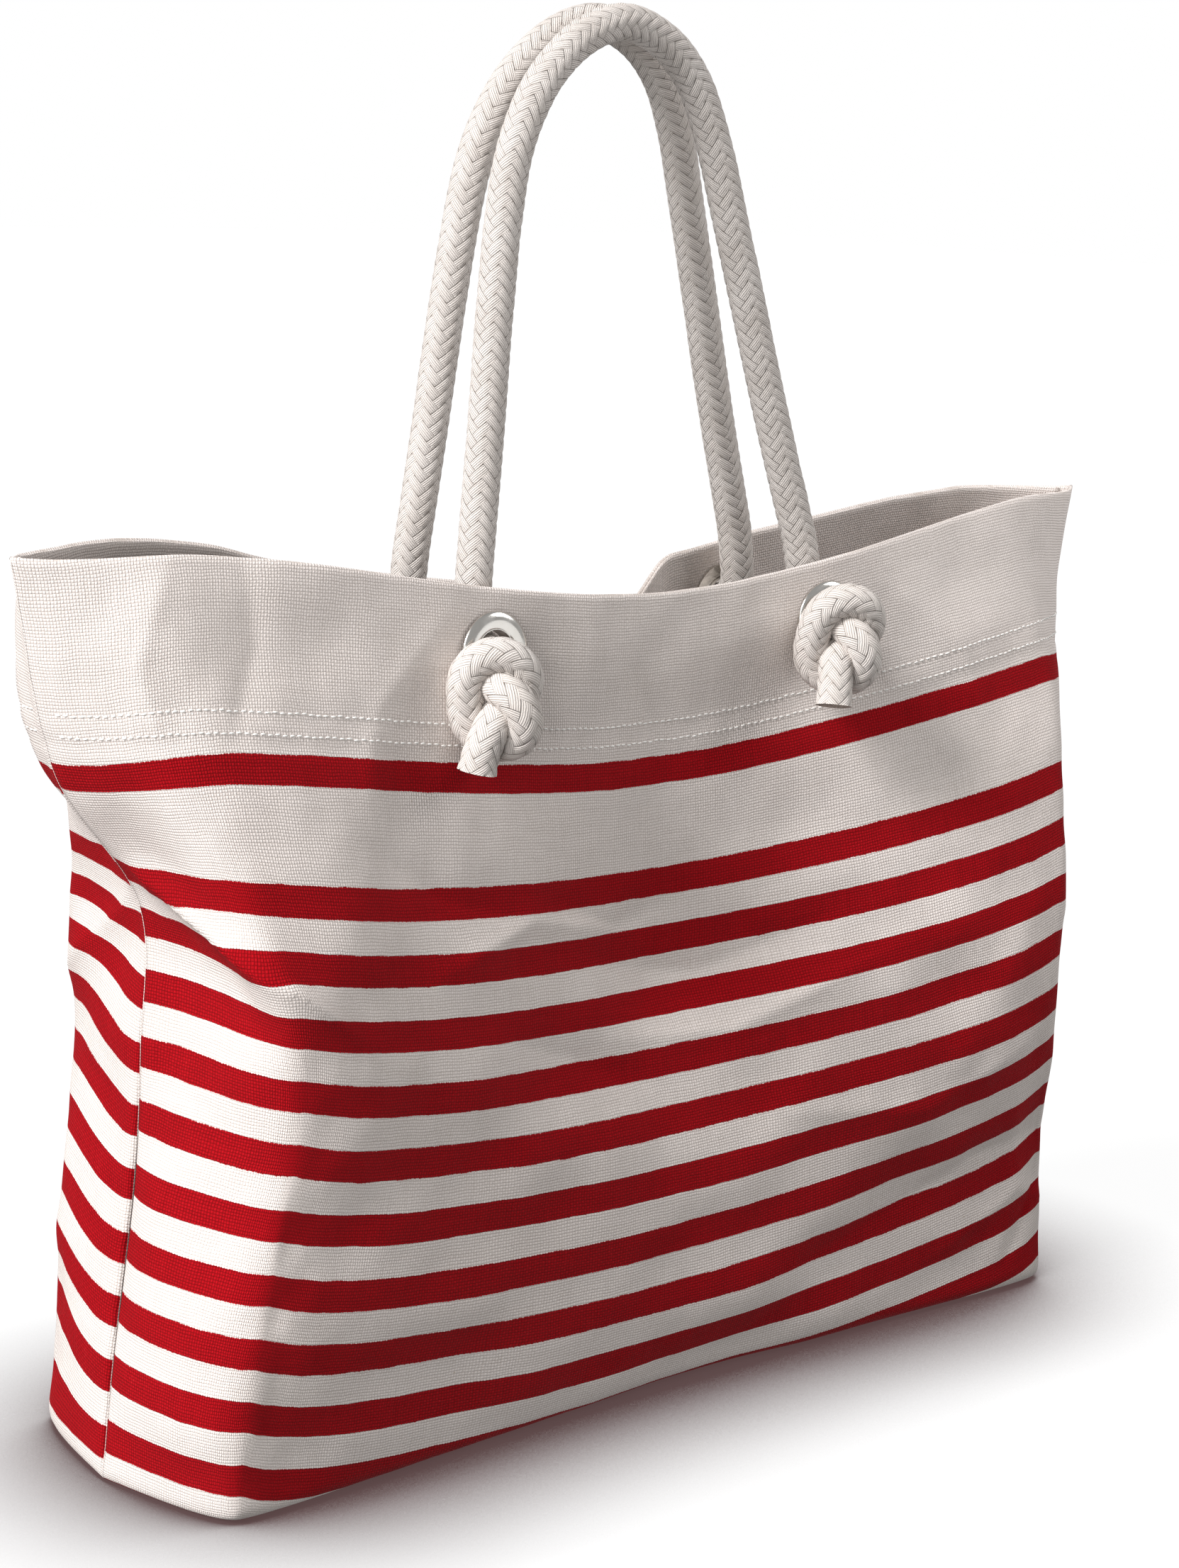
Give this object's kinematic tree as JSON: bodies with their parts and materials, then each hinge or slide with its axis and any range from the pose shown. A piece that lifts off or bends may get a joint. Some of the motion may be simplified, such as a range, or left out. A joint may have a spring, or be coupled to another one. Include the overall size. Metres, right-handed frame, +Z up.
{
  "type": "beach bag",
  "caption": "Open canvas tote bag with a boxed base, a flared mouth, and braided rope handles knotted through metal eyelets.",
  "frame": {"origin": "middle of the base, on the floor", "axes": "+Z up towards the handles, X along the mouth's width, -Y out of the front panel"},
  "size_m": [0.55, 0.1466, 0.539],
  "materials": {
    "striped_canvas": "coarse natural cotton canvas with printed deep red stripes",
    "plain_canvas": "coarse natural cotton canvas",
    "thread": "twisted natural sewing thread",
    "eyelet_metal": "bright nickel plate",
    "cotton_rope": "matte braided natural cotton rope"
  },
  "bodies": {
    "root": {"front_panel": "striped_canvas", "back_panel": "striped_canvas", "front_facing": "plain_canvas", "back_facing": "plain_canvas", "front_stitching": "thread", "back_stitching": "thread", "left_side_seam": "plain_canvas", "right_side_seam": "plain_canvas", "bottom_seam": "plain_canvas", "left_corner_seam": "plain_canvas", "right_corner_seam": "plain_canvas", "front_left_eyelet": "eyelet_metal", "front_right_eyelet": "eyelet_metal", "back_left_eyelet": "eyelet_metal", "back_right_eyelet": "eyelet_metal", "front_left_washer": "eyelet_metal", "front_right_washer": "eyelet_metal", "back_left_washer": "eyelet_metal", "back_right_washer": "eyelet_metal", "front_left_knot": "cotton_rope", "front_right_knot": "cotton_rope", "back_left_knot": "cotton_rope", "back_right_knot": "cotton_rope"},
    "front_loop": {"front_handle": "cotton_rope"},
    "back_loop": {"back_handle": "cotton_rope"}
  },
  "joints": [
    {"name": "front_handle_swing", "type": "hinge", "parent": "root", "child": "front_loop", "pos_m": [0, -0.0307, 0.3269], "axis": [1, 0, 0], "range_deg": [0, 140]},
    {"name": "back_handle_swing", "type": "hinge", "parent": "root", "child": "back_loop", "pos_m": [0, 0.0307, 0.3269], "axis": [-1, 0, 0], "range_deg": [0, 140]}
  ]
}
